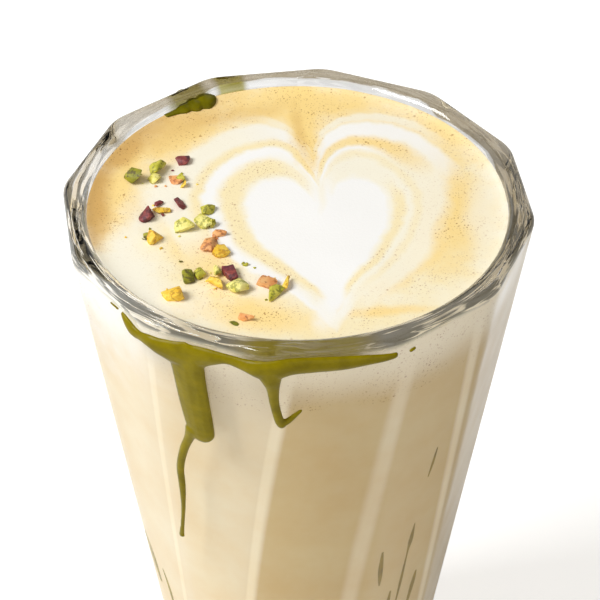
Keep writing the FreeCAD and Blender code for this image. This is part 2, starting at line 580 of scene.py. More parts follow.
@dataclass(frozen=True)
class ClearGlass:
    """Polished glass that lets light through to the drink; its colour holds painted light and shade.

    Lengths other than `wave` are in millimetres. A pair holds where a change begins and where it
    ends: `rim_depths`, `painted_shade_depths`, `sauce_reflection_depths` and `swell_depths` below the
    rim, `painted_shade_foot` above the bore's floor, and `crown` outwards from the outer flat. What
    lies up to `outer_skin` inside that flat is the outside. The colour holds painted shade in the
    wall with painted light bands at the creases, painted dark reflections as cord lines along the
    rim, and a painted reflection of the sauce in the rim. `cord_and_reflection_pitch` is how fast the
    cord lines change round the glass, outwards and inwards, and at `behind` they have faded to
    `cords_and_reflection_behind`.
    """

    form: GlassForm
    name: str = "clear_glass"
    # Painted shade: brown tint that darkens the drink seen through the wall.
    painted_shade_tint: Colour = (0.48, 0.36, 0.165)
    # Colour of the wall where painted light fully lifts its painted shade.
    clear: Colour = (1.0, 1.0, 1.0)
    bore_tint: Colour = (0.95, 0.955, 0.96)
    rim_light: Colour = (0.97, 0.98, 1.0)
    # Painted dark reflection in the rim's cord lines.
    painted_reflection_dark: Colour = (0.07, 0.075, 0.075)
    rim_depths: tuple[float, float] = (2.6, 0.9)
    painted_shade_depths: tuple[float, float] = (16.0, 4.0)
    painted_shade_foot: tuple[float, float] = (-0.5, 1.5)
    outer_skin: float = 1.5
    painted_band_core: float = 0.2
    # Where the painted light on the lit left side begins and ends.
    lit_side_start: tuple[float, float] = (-1.0, 1.4)
    lit_side_end: tuple[float, float] = (40.0, 100.0)
    cord_and_reflection_pitch: tuple[float, float, float] = (3.4, 0.55, 0.8)
    cord_and_reflection_bend: float = 0.8
    cord_and_reflection_edge: tuple[float, float] = (0.41, 0.51)
    cord_relief: float = 0.2
    cords_and_reflection_behind: float = 0.25
    behind: float = 36.0
    crown: tuple[float, float] = (-3.5, -2.5)
    sauce_reflection_depths: tuple[float, float] = (4.2, 3.0)
    sauce_reflection_core: float = 0.55
    sauce_reflection_share: float = 0.95
    sauce_reflection_soft: float = 0.5
    swell_scale: float = 0.14
    swell_depths: tuple[float, float] = (12.0, 1.5)
    swell_low: float = 0.2
    wave: float = 0.0006
    index: float = 1.5
    # Painted reflections of the sauce in the rim.
    stains: tuple[PaintedSauceReflection, ...] = (
        PaintedSauceReflection(2.0, 20.0, 2.4, (0.15, 0.12, 0.0)),
        PaintedSauceReflection(-148.0, 7.5, 4.4, (0.2, 0.17, 0.0)),
        PaintedSauceReflection(-161.0, 5.5, 6.0, (0.28, 0.24, 0.0)),
    )
    # Painted light bands at the creases; the first also paints light over the lit left side.
    painted_light_bands: tuple[PaintedLightBand, ...] = (
        PaintedLightBand(-1.0, -28.0, 3.1, 1.0, 0.66),
        PaintedLightBand(29.0, 10.0, 3.9, 0.42),
        PaintedLightBand(49.5, 54.0, 2.4, 0.75),
        PaintedLightBand(-36.8, -52.0, 2.8, 1.0),
        PaintedLightBand(-66.8, -74.0, 3.2, 1.0),
        PaintedLightBand(81.0, 84.0, 4.0, 0.65),
        PaintedLightBand(113.0, 113.0, 4.6, 0.6),
        PaintedLightBand(143.0, 143.0, 4.6, 0.6),
        PaintedLightBand(173.0, 173.0, 4.6, 0.6),
        PaintedLightBand(-157.0, -157.0, 4.6, 0.6),
        PaintedLightBand(-127.0, -127.0, 4.6, 0.6),
        PaintedLightBand(-97.0, -97.0, 4.6, 0.6),
    )

    def painted_crease_light(self, wires: Wires, place: object) -> object:
        """Share of painted light: high in the creases, low between them.

        Args:
            wires: Wires of the material.
            place: Position in millimetres.

        Returns:
            The share output.
        """
        east, north, height = wires.split(place)
        turn = wires.math("ARCTAN2", east, wires.math("MULTIPLY", north, -1.0))
        turn = wires.math("DEGREES", turn)
        share = wires.math("DIVIDE", height, self.form.height / MM)
        total: object = 0.0
        for light_band in self.painted_light_bands:
            lean = light_band.high_angle - light_band.low_angle
            middle = wires.math("MULTIPLY_ADD", share, lean, light_band.low_angle)
            off = wires.math("ABSOLUTE", wires.math("SUBTRACT", turn, middle))
            core = light_band.half_width * self.painted_band_core
            lit = wires.ease(off, core, light_band.half_width, light_band.strength, 0.0)
            total = wires.math("MAXIMUM", total, lit)
            if light_band.painted_lit_side:
                left = wires.math("SUBTRACT", middle, turn)
                start = wires.ease(left, *self.lit_side_start, 0.0, light_band.painted_lit_side)
                end = wires.ease(left, *self.lit_side_end, 1.0, 0.0)
                total = wires.math("MAXIMUM", total, wires.math("MULTIPLY", start, end))
        return total

    def cords_and_painted_reflection(self, wires: Wires, reach: object, height: object, turn: object) -> object:
        """Fine cord lines along the melted rim: painted dark reflections in its colour, real relief
        in its bump.

        Args:
            wires: Wires of the material.
            reach: Distance from the axis, in millimetres.
            height: Height in millimetres.
            turn: Angle round the glass in radians.

        Returns:
            Mask that is 1 in the dark lines.
        """
        along, outward, inward = self.cord_and_reflection_pitch
        slant = wires.math("MULTIPLY", wires.math("ADD", reach, height), outward)
        drop = wires.math("MULTIPLY", wires.math("SUBTRACT", reach, height), inward)
        place = wires.join(wires.math("MULTIPLY", turn, along), slant, drop)
        lines = wires.noise(place, 1.0, 2.0, 0.55)
        lines.inputs["Distortion"].default_value = self.cord_and_reflection_bend
        return wires.ease(lines.outputs["Fac"], *self.cord_and_reflection_edge)

    def with_painted_sauce_reflection(
        self, wires: Wires, colour: object, beyond: object, height: object, turn: object
    ) -> object:
        """Colour of the rim with the painted reflection of the green sauce in it.

        Args:
            wires: Wires of the material.
            colour: Colour of the clean glass.
            beyond: Distance outwards from the outer flat, in millimetres.
            height: Height in millimetres.
            turn: Angle round the glass in radians.

        Returns:
            The colour output.
        """
        top = self.form.height / MM
        low, high = self.sauce_reflection_depths
        at_rim = wires.ease(height, top - low, top - high)
        # Each of these is a painted reflection of the sauce in the rim.
        for stain in self.stains:
            off = wires.math("ABSOLUTE", wires.math("SUBTRACT", turn, math.radians(stain.angle)))
            edge = math.radians(stain.half_width)
            near = wires.ease(off, edge * self.sauce_reflection_core, edge, self.sauce_reflection_share, 0.0)
            within = wires.ease(beyond, -stain.inward - self.sauce_reflection_soft, -stain.inward)
            share = wires.math("MULTIPLY", wires.math("MULTIPLY", near, within), at_rim)
            colour = wires.mix(share, colour, stain.colour)
        return colour

    def walled(self, wires: Wires, beyond: object, height: object) -> object:
        """Mask of the outside wall between the rim and the solid foot, where the shade and the light
        bands are painted.

        Args:
            wires: Wires of the material.
            beyond: Distance outwards from the outer flat, in millimetres.
            height: Height in millimetres.

        Returns:
            The mask output.
        """
        top, foot = self.form.height / MM, self.form.base_thickness / MM
        deep, shallow = self.painted_shade_depths
        under, over = self.painted_shade_foot
        outer = wires.math("GREATER_THAN", beyond, -self.outer_skin)
        below = wires.ease(height, top - deep, top - shallow, 1.0, 0.0)
        above = wires.ease(height, foot + under, foot + over)
        return wires.math("MULTIPLY", outer, wires.math("MULTIPLY", below, above))

    def build(self) -> bpy.types.Material:
        """Build the material.

        Returns:
            The material.
        """
        made, wires, shader = new_material(self.name)
        place = wires.position()
        east, north, height = wires.split(place)
        top = self.form.height / MM
        turn = wires.math("ARCTAN2", east, wires.math("MULTIPLY", north, -1.0))
        squares = wires.math("ADD", wires.math("POWER", east, 2.0), wires.math("POWER", north, 2.0))
        reach = wires.math("SQRT", squares)
        slope = (self.form.rim_width - self.form.base_width) / 2 / self.form.height
        flat = wires.math("MULTIPLY_ADD", height, slope, self.form.base_width / 2 / MM)
        beyond = wires.math("SUBTRACT", reach, flat)
        # Painted shade: the wall's brown tint darkens the drink behind it; the painted light bands
        # lift it.
        body = wires.mix(self.painted_crease_light(wires, place), self.painted_shade_tint, self.clear)
        body = wires.mix(self.walled(wires, beyond, height), self.bore_tint, body)
        low, high = self.rim_depths
        at_rim = wires.ease(height, top - low, top - high)
        # Painted reflection: dark cord lines in the rim's colour, faded towards the back.
        lines = self.cords_and_painted_reflection(wires, reach, height, turn)
        behind = wires.ease(north, 0.0, self.behind, 1.0, self.cords_and_reflection_behind)
        lines = wires.math("MULTIPLY", lines, behind)
        rim = wires.mix(lines, self.rim_light, self.painted_reflection_dark)
        colour = wires.mix(at_rim, body, rim)
        colour = self.with_painted_sauce_reflection(wires, colour, beyond, height, turn)
        wires.feed(shader.inputs["Base Color"], colour)
        swell = wires.noise(place, self.swell_scale, 0.0, 0.5).outputs["Fac"]
        crown = wires.math("MULTIPLY", at_rim, wires.ease(beyond, *self.crown))
        relief = wires.math("MULTIPLY", lines, crown)
        waves = wires.math("MULTIPLY_ADD", relief, self.cord_relief, swell)
        low, high = self.swell_depths
        fading = wires.ease(height, top - low, top - high, self.swell_low, 1.0)
        waves = wires.math("MULTIPLY", waves, fading)
        wires.feed(shader.inputs["Normal"], wires.bump(waves, self.wave))
        shader.inputs["Roughness"].default_value = 0.0
        shader.inputs["IOR"].default_value = self.index
        shader.inputs["Transmission Weight"].default_value = 1.0
        passing = wires.node("ShaderNodeBsdfTransparent")
        path = wires.node("ShaderNodeLightPath")
        either = wires.math("MAXIMUM", path.outputs["Is Shadow Ray"], path.outputs["Is Diffuse Ray"])
        blend = wires.node("ShaderNodeMixShader")
        wires.feed(blend.inputs[0], either)
        wires.feed(blend.inputs[1], shader.outputs[0])
        wires.feed(blend.inputs[2], passing.outputs[0])
        wires.feed(made.node_tree.nodes["Material Output"].inputs["Surface"], blend.outputs[0])
        return made


@dataclass
class Tumbler:
    """The glass: faceted outside, round bore, melted rim."""

    form: GlassForm
    wall_levels: int = 24
    round_levels: int = 8
    base_shares: tuple[float, ...] = (0.2, 0.1)
    floor_shares: tuple[float, ...] = (0.4, 0.1)
    pieces: list[bpy.types.Object] = field(default_factory=list)

    def outer_ring(self, height: float, inset: float) -> list[Vector]:
        """Ring of the faceted outside.

        Args:
            height: Height above the base.
            inset: How far the outline is moved inwards.

        Returns:
            The ring's points.
        """
        ring = []
        for angle in self.form.angles():
            reach = self.form.outside(angle, height, inset)
            ring.append(Vector((reach * math.cos(angle), reach * math.sin(angle), height)))
        return ring

    def inner_ring(self, reach: float, height: float) -> list[Vector]:
        """Round ring of the bore.

        Args:
            reach: Distance from the axis.
            height: Height above the base.

        Returns:
            The ring's points.
        """
        return [
            Vector((reach * math.cos(angle), reach * math.sin(angle), height))
            for angle in self.form.angles()
        ]

    def outside_rings(self) -> list[list[Vector]]:
        """Rings from the middle of the base up to the outer edge of the rim.

        Returns:
            The rings, from the base upwards.
        """
        form = self.form
        heel, rim = form.heel_round, form.rim_round_outer
        rings = [self.outer_ring(0.0, form.base_width * share) for share in self.base_shares]
        for step in range(self.round_levels + 1):
            turn = step / self.round_levels * math.pi / 2
            rings.append(self.outer_ring(heel * (1 - math.cos(turn)), heel * (1 - math.sin(turn))))
        for step in range(1, self.wall_levels):
            share = step / self.wall_levels
            rings.append(self.outer_ring(heel + (form.height - rim - heel) * share, 0.0))
        for step in range(self.round_levels + 1):
            turn = step / self.round_levels * math.pi / 2
            height = form.height - rim * (1 - math.sin(turn))
            rings.append(self.outer_ring(height, rim * (1 - math.cos(turn))))
        return rings

    def bore_rings(self) -> list[list[Vector]]:
        """Rings from the inner edge of the rim down to the middle of the floor.

        Returns:
            The rings, from the rim downwards.
        """
        form = self.form
        rings = []
        for step in range(self.round_levels + 1):
            turn = step / self.round_levels * math.pi / 2
            height = form.height - form.rim_round_inner * (1 - math.cos(turn))
            reach = form.bore(height) + form.rim_round_inner * (1 - math.sin(turn))
            rings.append(self.inner_ring(reach, height))
        low = form.base_thickness + form.floor_round
        high = form.height - form.rim_round_inner
        for step in range(1, self.wall_levels + 1):
            height = high + (low - high) * step / self.wall_levels
            rings.append(self.inner_ring(form.bore(height), height))
        for step in range(1, self.round_levels + 1):
            turn = step / self.round_levels * math.pi / 2
            height = form.base_thickness + form.floor_round * (1 - math.sin(turn))
            reach = form.bore(low) - form.floor_round * (1 - math.cos(turn))
            rings.append(self.inner_ring(reach, height))
        for share in self.floor_shares:
            rings.append(self.inner_ring(form.bore(low) * share, form.base_thickness))
        return rings

    def build(self) -> None:
        """Build the closed skin of the glass."""
        made = rings_to_object("tumbler", self.outside_rings() + self.bore_rings())
        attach(made, "root")
        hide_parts("glass")
        self.pieces.append(made)

    def dress(self) -> None:
        """Give the glass its finish."""
        finish = ClearGlass(self.form).build()
        for piece in self.pieces:
            piece.data.materials.append(finish)


# ---------------------------------------------------------------- foam pattern


class Tone(Enum):
    """Colours of the drink and its foam."""

    WHITE = srgb(253, 252, 250)
    CREAM = srgb(253, 247, 228)
    PALE_GOLD = srgb(253, 236, 188)
    GOLD = srgb(255, 222, 142)
    TAN = srgb(220, 176, 102)
    SPECK = srgb(164, 106, 36)
    FOAM_SIDE = srgb(249, 235, 206)
    LATTE = srgb(247, 235, 204)
    LATTE_DEEP = srgb(240, 215, 168)


@dataclass(frozen=True)
class Band:
    """One ring of colour round the foam heart.

    Radius, half width and soft edge are in millimetres, on the rings as they lie before the heart
    is drawn through. `towards` is the side where the ring is strongest, in degrees from +X, and
    `spread` is how far round it reaches: 1 is one side only, -1 is all the way.
    """

    tone: Tone
    radius: float
    half_width: float
    soft: float
    towards: float = 0.0
    spread: float = -1.5
    strength: float = 1.0


@dataclass(frozen=True)
class Blot:
    """Soft patch of colour: middle and half axes in millimetres, turn in degrees."""

    tone: Tone
    east: float
    north: float
    long: float
    short: float
    turn: float = 0.0
    strength: float = 0.8


@dataclass(frozen=True)
class FoamPattern:
    """Rings of white and golden foam drawn through into a heart.

    The rings are circles about a middle, and one stroke along the heart's axis drags them towards
    its tip, which makes the cleft, the tip and the notches of every ring round them. The `blots`
    lie under the rings and the `stains` over them. Lengths are in millimetres.
    """

    cleft: tuple[float, float] = (4.3, 2.0)
    tilt: float = math.radians(4.6)
    middle_shift: float = 0.5
    pull: float = 16.5
    pull_width_top: float = 4.0
    pull_width_bottom: float = 7.4
    pull_span: tuple[float, float] = (-10.0, 9.0)
    wobble: float = 1.3
    wobble_scale: float = 0.055
    feather: float = 0.9
    feather_scale: float = 0.3
    patch_size: float = 7.0
    ragged: float = 0.4
    blot_edge: tuple[float, float] = (0.35, 1.45)
    lobe: float = 0.55
    blots: tuple[Blot, ...] = (
        Blot(Tone.PALE_GOLD, 25, -5, 36, 17, 90, 0.95),
        Blot(Tone.PALE_GOLD, 3, -34, 26, 10, 0, 0.9),
        Blot(Tone.PALE_GOLD, -19, -15, 17, 10, -60, 0.9),
        Blot(Tone.GOLD, 1, 35, 30, 11, 0, 0.95),
        Blot(Tone.GOLD, -24, 24, 18, 10, 42, 0.95),
        Blot(Tone.GOLD, 1.5, 21, 14, 4, 92, 0.95),
        Blot(Tone.GOLD, 28, 25, 16, 7, -48, 0.8),
        Blot(Tone.GOLD, 28, -3, 18, 10, 85, 0.9),
        Blot(Tone.GOLD, 20, -18, 12, 4, 55, 0.5),
        Blot(Tone.GOLD, -18, -14, 14, 6, -62, 0.7),
        Blot(Tone.GOLD, -8, -31, 13, 6, -14, 0.85),
        Blot(Tone.GOLD, 15, -30.5, 11, 1.8, 4, 0.8),
        Blot(Tone.GOLD, -34, 8, 24, 6, 80, 0.95),
        Blot(Tone.TAN, -38.2, 3, 22, 3.6, 88, 1.0),
        Blot(Tone.TAN, -33, 19.5, 14, 3.4, 60, 0.95),
        Blot(Tone.TAN, -24, 27, 16, 6, 40, 0.5),
        Blot(Tone.TAN, -12, 31, 14, 3, 18, 0.3),
        Blot(Tone.TAN, 1.0, 19, 8, 1.8, 92, 0.35),
    )
    bands: tuple[Band, ...] = (
        Band(Tone.CREAM, 25.8, 2.6, 2.2, 130, 0.0, 0.95),
        Band(Tone.WHITE, 26.8, 1.6, 1.8, 62, 0.45, 0.9),
        Band(Tone.CREAM, 31.2, 0.5, 1.2, 72, 0.7, 0.8),
        Band(Tone.CREAM, 21.5, 2.6, 3.0, -5, 0.1, 0.85),
        Band(Tone.GOLD, 23.0, 0.5, 2.6, 65, 0.62, 0.9),
        Band(Tone.PALE_GOLD, 22.4, 0.4, 2.4, 135, 0.2, 0.95),
        Band(Tone.WHITE, 19.9, 1.1, 1.6, 160, -0.6),
        Band(Tone.CREAM, 16.8, 2.6, 2.0, 0, -0.5, 0.9),
        Band(Tone.PALE_GOLD, 19.4, 0.2, 1.7, 5, 0.0, 0.6),
        Band(Tone.PALE_GOLD, 15.6, 0.3, 1.5, -50, 0.1, 0.9),
        Band(Tone.PALE_GOLD, 16.4, 0.8, 2.8, 178, 0.0, 0.95),
        Band(Tone.WHITE, 0.0, 12.6, 1.9),
    )
    stains: tuple[Blot, ...] = (
        Blot(Tone.GOLD, 1.2, 27, 15, 3.6, 94, 0.95),
        Blot(Tone.GOLD, 3.0, 15.5, 5, 1.6, 96, 0.55),
        Blot(Tone.TAN, 0.6, 26, 10, 1.6, 96, 0.4),
        Blot(Tone.WHITE, 4.6, 2.0, 10, 3.6, 92, 1.0),
        Blot(Tone.WHITE, 6.2, -27.0, 9, 3.4, 84, 1.0),
        Blot(Tone.CREAM, 4.2, 6.0, 8, 1.0, 92, 0.7),
        Blot(Tone.GOLD, 27.5, -8, 11, 1.6, 80, 0.45),
        Blot(Tone.CREAM, 35, -4, 15, 3.4, 88, 0.6),
        Blot(Tone.GOLD, 31, 8, 9, 2.0, 100, 0.5),
    )

    def rings(self, wires: Wires, east: object, north: object) -> tuple[object, ...]:
        """Undo the stroke and measure from the rings' middle.

        Args:
            wires: Wires of the material.
            east: x in millimetres.
            north: y in millimetres.

        Returns:
            Distance from the middle, and the x and y of the direction from it.
        """
        across = wires.math("SUBTRACT", east, self.cleft[0])
        along = wires.math("SUBTRACT", north, self.cleft[1])
        sine, cosine = math.sin(self.tilt), math.cos(self.tilt)
        side = wires.math(
            "ADD", wires.math("MULTIPLY", across, cosine), wires.math("MULTIPLY", along, sine)
        )
        rise = wires.math(
            "SUBTRACT", wires.math("MULTIPLY", along, cosine), wires.math("MULTIPLY", across, sine)
        )
        reach = wires.ease(rise, *self.pull_span, self.pull_width_bottom, self.pull_width_top)
        away = wires.math("DIVIDE", wires.math("ABSOLUTE", side), reach)
        fading = wires.math("EXPONENT", wires.math("MULTIPLY", away, -1.0))
        drag = wires.math("MULTIPLY", fading, self.pull)
        before = wires.math("ADD", rise, drag)
        shifted = wires.math("ADD", side, self.middle_shift)
        squares = wires.math(
            "ADD", wires.math("POWER", shifted, 2.0), wires.math("POWER", before, 2.0)
        )
        distance = wires.math("SQRT", squares)
        return (
            distance,
            wires.math("DIVIDE", shifted, distance),
            wires.math("DIVIDE", before, distance),
        )

    def stain(
        self, wires: Wires, blot: Blot, place: tuple[object, ...], uneven: object, under: object
    ) -> object:
        """Lay one soft patch of colour.

        Args:
            wires: Wires of the material.
            blot: The patch.
            place: x and y in millimetres.
            uneven: Mask that breaks up the patch.
            under: Colour that it is laid on.

        Returns:
            The colour output.
        """
        sine, cosine = math.sin(math.radians(blot.turn)), math.cos(math.radians(blot.turn))
        east = wires.math("SUBTRACT", place[0], blot.east)
        north = wires.math("SUBTRACT", place[1], blot.north)
        along = wires.math(
            "ADD",
            wires.math("MULTIPLY", east, cosine / blot.long),
            wires.math("MULTIPLY", north, sine / blot.long),
        )
        across = wires.math(
            "SUBTRACT",
            wires.math("MULTIPLY", north, cosine / blot.short),
            wires.math("MULTIPLY", east, sine / blot.short),
        )
        away = wires.math("ADD", wires.math("POWER", along, 2.0), wires.math("POWER", across, 2.0))
        away = wires.math("SQRT", away)
        ragged = wires.math("MULTIPLY_ADD", uneven, self.ragged, away)
        mask = wires.ease(ragged, *self.blot_edge, blot.strength, 0.0)
        return wires.mix(mask, under, blot.tone.value)

    def ring(self, wires: Wires, band: Band, rings: tuple[object, ...], under: object) -> object:
        """Lay one ring of colour.

        Args:
            wires: Wires of the material.
            band: The ring.
            rings: Distance from the rings' middle, and the x and y of the direction from it.
            under: Colour that it is laid on.

        Returns:
            The colour output.
        """
        distance, toward_x, toward_y = rings
        off = wires.math("ABSOLUTE", wires.math("SUBTRACT", distance, band.radius))
        edge = band.half_width + band.soft
        mask = wires.ease(off, band.half_width, edge, band.strength, 0.0)
        if band.spread > -1:
            turn = math.radians(band.towards)
            facing = wires.math(
                "ADD",
                wires.math("MULTIPLY", toward_x, math.cos(turn)),
                wires.math("MULTIPLY", toward_y, math.sin(turn)),
            )
            lobe = wires.ease(facing, band.spread, min(1.0, band.spread + self.lobe))
            mask = wires.math("MULTIPLY", mask, lobe)
        return wires.mix(mask, under, band.tone.value)

    def paint(self, wires: Wires, effects: Effects, place: object) -> object:
        """Colour of the foam's surface.

        Args:
            wires: Wires of the material.
            effects: Shared node groups.
            place: Position in millimetres.

        Returns:
            The colour output.
        """
        flat_place = wires.node("ShaderNodeVectorMath", operation="MULTIPLY")
        wires.feed(flat_place.inputs[0], place)
        flat_place.inputs[1].default_value = (1.0, 1.0, 0.0)
        flat = flat_place.outputs[0]
        drift = wires.noise(flat, self.wobble_scale, 3.0, 0.5).outputs["Color"]
        drift_x, drift_y, _ = wires.split(drift)
        east, north, _ = wires.split(flat)
        span = 4 * self.wobble
        east = wires.math("ADD", east, wires.math("MULTIPLY_ADD", drift_x, span, -span / 2))
        north = wires.math("ADD", north, wires.math("MULTIPLY_ADD", drift_y, span, -span / 2))
        distance, *toward = self.rings(wires, east, north)
        grain = wires.noise(flat, self.feather_scale, 3.0, 0.55).outputs["Fac"]
        feather = wires.math("MULTIPLY_ADD", grain, 2 * self.feather, -self.feather)
        rings = (wires.math("ADD", distance, feather), *toward)
        colour: object = Tone.CREAM.value
        given = {"place": flat, "size": self.patch_size, "contrast": 2.2}
        uneven = wires.group(effects.mottle, **given).outputs[0]
        for blot in self.blots:
            colour = self.stain(wires, blot, (east, north), uneven, colour)
        for band in self.bands:
            colour = self.ring(wires, band, rings, colour)
        for blot in self.stains:
            colour = self.stain(wires, blot, (east, north), uneven, colour)
        return colour


@dataclass(frozen=True)
class SideLook:
    """Drink behind the glass: coffee that turns into foam over a ragged border.

    Lengths are in millimetres. `border` is the height where the foam begins, and `painted_light_span`
    holds the x between which painted light makes the froth paler towards the lit left.
    """

    border: float
    cloud_size: float = 13.0
    ragged_size: float = 9.0
    ragged_height: float = 12.0
    fade: tuple[float, float] = (-5.0, 18.0)
    painted_light_span: tuple[float, float] = (-38.0, -16.0)
    painted_light_strength: float = 0.85

    def paint(self, wires: Wires, effects: Effects, place: object) -> object:
        """Colour of the drink's side.

        Args:
            wires: Wires of the material.
            effects: Shared node groups.
            place: Position in millimetres.

        Returns:
            The colour output.
        """
        east, _, height = wires.split(place)
        given = {"place": place, "size": self.cloud_size, "contrast": 1.8}
        cloud = wires.group(effects.mottle, **given).outputs[0]
        coffee = wires.mix(cloud, Tone.LATTE.value, Tone.LATTE_DEEP.value)
        given = {"place": place, "size": self.ragged_size, "contrast": 2.4}
        ragged = wires.group(effects.mottle, **given).outputs[0]
        shifted = wires.math("MULTIPLY_ADD", ragged, self.ragged_height, height)
        low, high = self.fade
        foamy = wires.ease(shifted, self.border + low, self.border + high)
        # Painted light: the froth side is paler on the lit left.
        left = wires.ease(east, *self.painted_light_span, self.painted_light_strength, 0.0)
        froth = wires.mix(left, Tone.FOAM_SIDE.value, Tone.WHITE.value)
        return wires.mix(foamy, coffee, froth)


@dataclass(frozen=True)
class SpeckLayer:
    """One layer of coffee specks; spacing and radius in millimetres.

    `share` is the part of the cells that holds a speck.
    """

    spacing: float
    radius: float
    share: float
    strength: float


@dataclass(frozen=True)
class FoamFinish:
    """Fine wet milk foam: the drawn pattern on top, a pale layer at the side.

    `top_edge` is where the side turns into the top, in millimetres above the surface. Specks lie
    where the pattern's blue is low: all of them below the first `golden_blue`, hardly any above
    the second. `heavy_share` of their strength comes in patches, `light_share` is everywhere.
    """

    surface: float
    bottom: float
    name: str = "milk_foam"
    pattern: FoamPattern = FoamPattern()
    top_edge: tuple[float, float] = (-1.6, -0.9)
    layers: tuple[SpeckLayer, ...] = (
        SpeckLayer(0.4, 0.13, 0.9, 0.6),
        SpeckLayer(0.6, 0.19, 0.8, 0.9),
        SpeckLayer(1.6, 0.28, 0.6, 1.0),
    )
    heavy_share: float = 0.85
    light_share: float = 0.15
    golden_blue: tuple[float, float] = (0.3, 0.9)
    froth_depth: float = 0.00012
    froth_strength: float = 0.3

    def speckled(
        self, wires: Wires, effects: Effects, place: object, top: object, colour: object
    ) -> object:
        """Scatter coffee specks over the golden parts.

        Args:
            wires: Wires of the material.
            effects: Shared node groups.
            place: Position in millimetres.
            top: Colour of the pattern, which says where the golden parts are.
            colour: Colour that the specks are laid on.

        Returns:
            The colour output.
        """
        patch = wires.group(effects.mottle, place=place, size=8.0, contrast=4.0).outputs[0]
        parts = wires.node("ShaderNodeSeparateColor")
        wires.feed(parts.inputs[0], top)
        golden = wires.ease(parts.outputs["Blue"], *self.golden_blue, 1.0, 0.02)
        for layer in self.layers:
            given = {"spacing": layer.spacing, "radius": layer.radius, "share": layer.share}
            specks = wires.group(effects.specks, place=place, **given)
            most, least = self.heavy_share * layer.strength, self.light_share * layer.strength
            heavy = wires.math("MULTIPLY_ADD", patch, most, least)
            amount = wires.math("MULTIPLY", wires.math("MULTIPLY", specks.outputs[0], heavy), golden)
            colour = wires.mix(amount, colour, Tone.SPECK.value)
        return colour

    def build(self, effects: Effects) -> bpy.types.Material:
        """Build the material.

        Args:
            effects: Shared node groups.

        Returns:
            The material.
        """
        made, wires, shader = new_material(self.name)
        place = wires.position()
        top = self.pattern.paint(wires, effects, place)
        _, _, height = wires.split(place)
        side = SideLook(self.bottom / MM).paint(wires, effects, place)
        low, high = self.top_edge
        on_top = wires.ease(height, self.surface / MM + low, self.surface / MM + high)
        colour = self.speckled(wires, effects, place, top, wires.mix(on_top, side, top))
        wires.feed(shader.inputs["Base Color"], colour)
        shader.inputs["Roughness"].default_value = DRINK_ROUGHNESS
        shader.inputs["Specular IOR Level"].default_value = DRINK_SHEEN
        froth = wires.noise(place, 1.6, 4.0, 0.65).outputs["Fac"]
        bent = wires.bump(froth, self.froth_depth, self.froth_strength)
        wires.feed(shader.inputs["Normal"], bent)
        return made


@dataclass(frozen=True)
class LatteFinish:
    """Opaque milky coffee, cloudy where the foam meets it."""

    top: float
    name: str = "milky_coffee"

    def build(self, effects: Effects) -> bpy.types.Material:
        """Build the material.

        Args:
            effects: Shared node groups.

        Returns:
            The material.
        """
        made, wires, shader = new_material(self.name)
        colour = SideLook(self.top / MM).paint(wires, effects, wires.position())
        wires.feed(shader.inputs["Base Color"], colour)
        shader.inputs["Roughness"].default_value = DRINK_ROUGHNESS
        shader.inputs["Specular IOR Level"].default_value = DRINK_SHEEN
        return made


